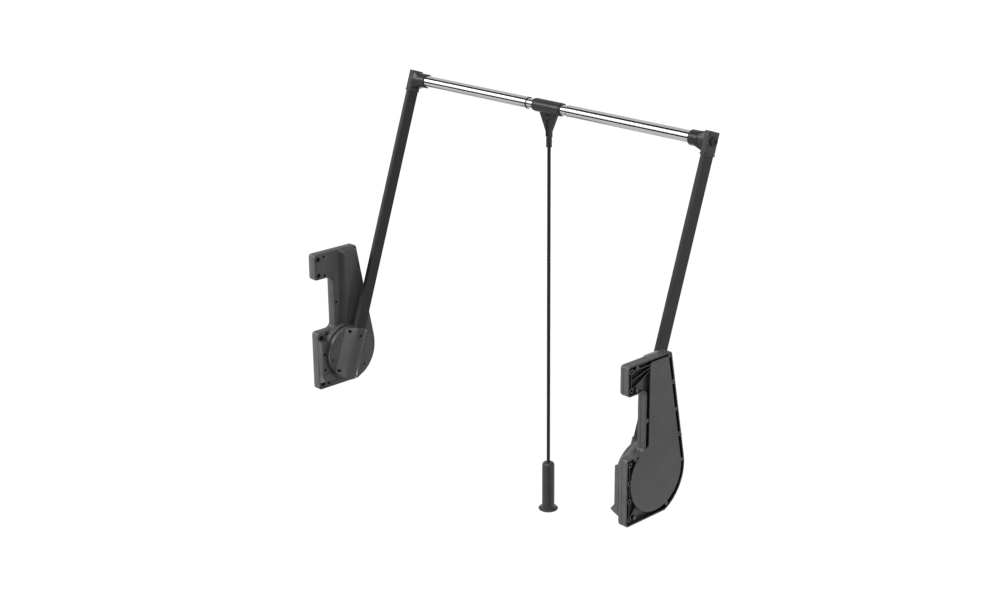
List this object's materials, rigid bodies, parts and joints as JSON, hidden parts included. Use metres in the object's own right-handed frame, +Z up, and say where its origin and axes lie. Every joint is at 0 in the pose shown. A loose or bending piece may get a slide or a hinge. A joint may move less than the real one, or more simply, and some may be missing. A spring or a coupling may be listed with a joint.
{
  "type": "pull down closet rod",
  "caption": "Pull down closet rod: two housings hold swing arms and a telescoping chrome hanging rail with a pull rod.",
  "frame": {"origin": "on the left housing's wall face, at the swing axis of the arms", "axes": "+X along the rail from the left wall to the right wall, -Y to the room side, +Z up"},
  "size_m": [0.83, 0.2577, 0.8074],
  "materials": {
    "black_plastic": "matte",
    "dark_enamel": "satin",
    "chrome": "polished",
    "black_steel": "satin",
    "zinc_steel": "satin",
    "spring_steel": "satin",
    "nylon": "matte"
  },
  "bodies": {
    "left_housing": {"left_back_shell": "black_plastic", "left_front_cover": "black_plastic", "left_cover_screws": "black_steel", "left_pivot_axle": "zinc_steel", "left_axle_clip": "zinc_steel", "left_front_spring": "spring_steel", "left_back_spring": "spring_steel", "left_spring_seat": "zinc_steel", "left_damper_body": "dark_enamel"},
    "left_arm": {"left_hub_bush": "nylon", "left_hub_core": "black_plastic", "left_hub_cover": "black_plastic", "left_hub_screws": "black_steel", "left_arm_tube": "dark_enamel", "left_arm_screw": "black_steel", "left_corner_connector": "black_plastic", "left_rail_bolt": "black_steel", "left_rail_plug": "zinc_steel", "left_rail_tube": "chrome", "left_rail_end_ring": "black_plastic"},
    "left_rack": {"left_gear_rack": "nylon"},
    "left_damper_wheel": {"left_damper_gear": "nylon"},
    "right_housing": {"right_back_shell": "black_plastic", "right_front_cover": "black_plastic", "right_cover_screws": "black_steel", "right_pivot_axle": "zinc_steel", "right_axle_clip": "zinc_steel", "right_front_spring": "spring_steel", "right_back_spring": "spring_steel", "right_spring_seat": "zinc_steel", "right_damper_body": "dark_enamel", "right_transport_pin": "zinc_steel"},
    "right_arm": {"right_hub_bush": "nylon", "right_hub_core": "black_plastic", "right_hub_cover": "black_plastic", "right_hub_screws": "black_steel", "right_arm_tube": "dark_enamel", "right_arm_screw": "black_steel", "right_corner_connector": "black_plastic", "right_rail_bolt": "black_steel", "right_rail_plug": "zinc_steel", "right_rail_tube": "chrome", "right_rail_end_ring": "black_plastic"},
    "right_rack": {"right_gear_rack": "nylon"},
    "right_damper_wheel": {"right_damper_gear": "nylon"},
    "centre_rail": {"inner_rail": "chrome", "bracket_rings": "black_plastic"},
    "bracket": {"pull_bracket": "black_plastic", "bracket_pin": "zinc_steel"},
    "rod": {"pull_rod": "dark_enamel", "rod_collar": "black_plastic", "grip": "black_plastic", "rod_nut": "zinc_steel", "grip_plug": "black_plastic"}
  },
  "joints": [
    {"name": "arm_swing", "type": "hinge", "parent": "left_housing", "child": "left_arm", "pos_m": [0.03, 0, 0], "axis": [1, 0, 0], "range_deg": [0, 125], "stiffness_Nm_per_rad": 6},
    {"name": "left_rack_slide", "type": "slide", "parent": "left_housing", "child": "left_rack", "axis": [0, 0, 1], "range_m": [0, 0.0351], "deforming": ["left_front_spring", "left_back_spring"]},
    {"name": "left_damper_turn", "type": "hinge", "parent": "left_housing", "child": "left_damper_wheel", "pos_m": [0.0135, -0.02631, -0.00958], "axis": [1, 0, 0], "range_deg": [-167.67, 1]},
    {"name": "left_extend", "type": "slide", "parent": "left_arm", "child": "centre_rail", "axis": [1, 0, 0], "range_m": [0, 0.16]},
    {"name": "bracket_turn", "type": "hinge", "parent": "centre_rail", "child": "bracket", "pos_m": [0.415, 0.1727, 0.52218], "axis": [1, 0, 0], "range_deg": [-126, 1]},
    {"name": "rod_swing", "type": "hinge", "parent": "bracket", "child": "rod", "pos_m": [0.415, 0.1727, 0.50218], "axis": [1, 0, 0], "range_deg": [-30, 30]},
    {"name": "right_extend", "type": "slide", "parent": "centre_rail", "child": "right_arm", "axis": [1, 0, 0], "range_m": [0, 0.16]},
    {"name": "right_pivot", "type": "hinge", "parent": "right_arm", "child": "right_housing", "pos_m": [0.8, 0, 0], "axis": [1, 0, 0], "range_deg": [-126, 1]},
    {"name": "right_rack_slide", "type": "slide", "parent": "right_housing", "child": "right_rack", "axis": [0, 0, 1], "range_m": [0, 0.0351], "deforming": ["right_front_spring", "right_back_spring"]},
    {"name": "right_damper_turn", "type": "hinge", "parent": "right_housing", "child": "right_damper_wheel", "pos_m": [0.8165, -0.02631, -0.00958], "axis": [1, 0, 0], "range_deg": [-167.67, 1]}
  ],
  "couplings": [
    {"joint": "left_rack_slide", "follows": "arm_swing", "m_per_rad": 0.016},
    {"joint": "left_damper_turn", "follows": "arm_swing", "ratio": -1.3333},
    {"joint": "bracket_turn", "follows": "arm_swing", "ratio": -1},
    {"joint": "right_pivot", "follows": "arm_swing", "ratio": -1},
    {"joint": "right_rack_slide", "follows": "arm_swing", "m_per_rad": 0.016},
    {"joint": "right_damper_turn", "follows": "arm_swing", "ratio": -1.3333}
  ]
}
